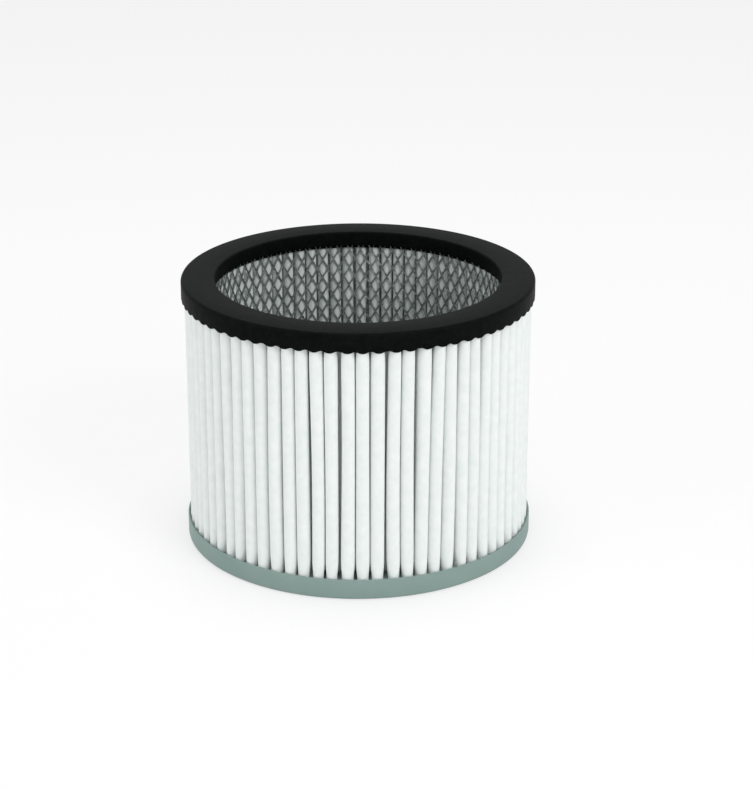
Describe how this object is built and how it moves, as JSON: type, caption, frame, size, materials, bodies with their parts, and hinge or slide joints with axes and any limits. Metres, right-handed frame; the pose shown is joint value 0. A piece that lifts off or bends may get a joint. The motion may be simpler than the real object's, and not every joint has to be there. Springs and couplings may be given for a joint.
{
  "type": "dust extractor filter",
  "caption": "Round pleated cartridge filter with a soft seal ring at its open end, a mesh tube inside and a closed dish at the other end.",
  "frame": {"origin": "centre of the closed end's resting face", "axes": "+Z along the filter's axis, from the closed end to the open end"},
  "size_m": [0.155, 0.155, 0.12],
  "materials": {
    "seal_ring": "satin cast skin",
    "pleated_pack": "matt fleece",
    "mesh_tube": "dull zinc",
    "end_cap": "fine matt moulding",
    "bonding_bed": "poured, satin"
  },
  "bodies": {
    "root": {"seal_ring": "seal_ring", "pleated_pack": "pleated_pack", "mesh_tube": "mesh_tube", "end_cap": "end_cap", "bonding_bed": "bonding_bed"}
  },
  "joints": []
}
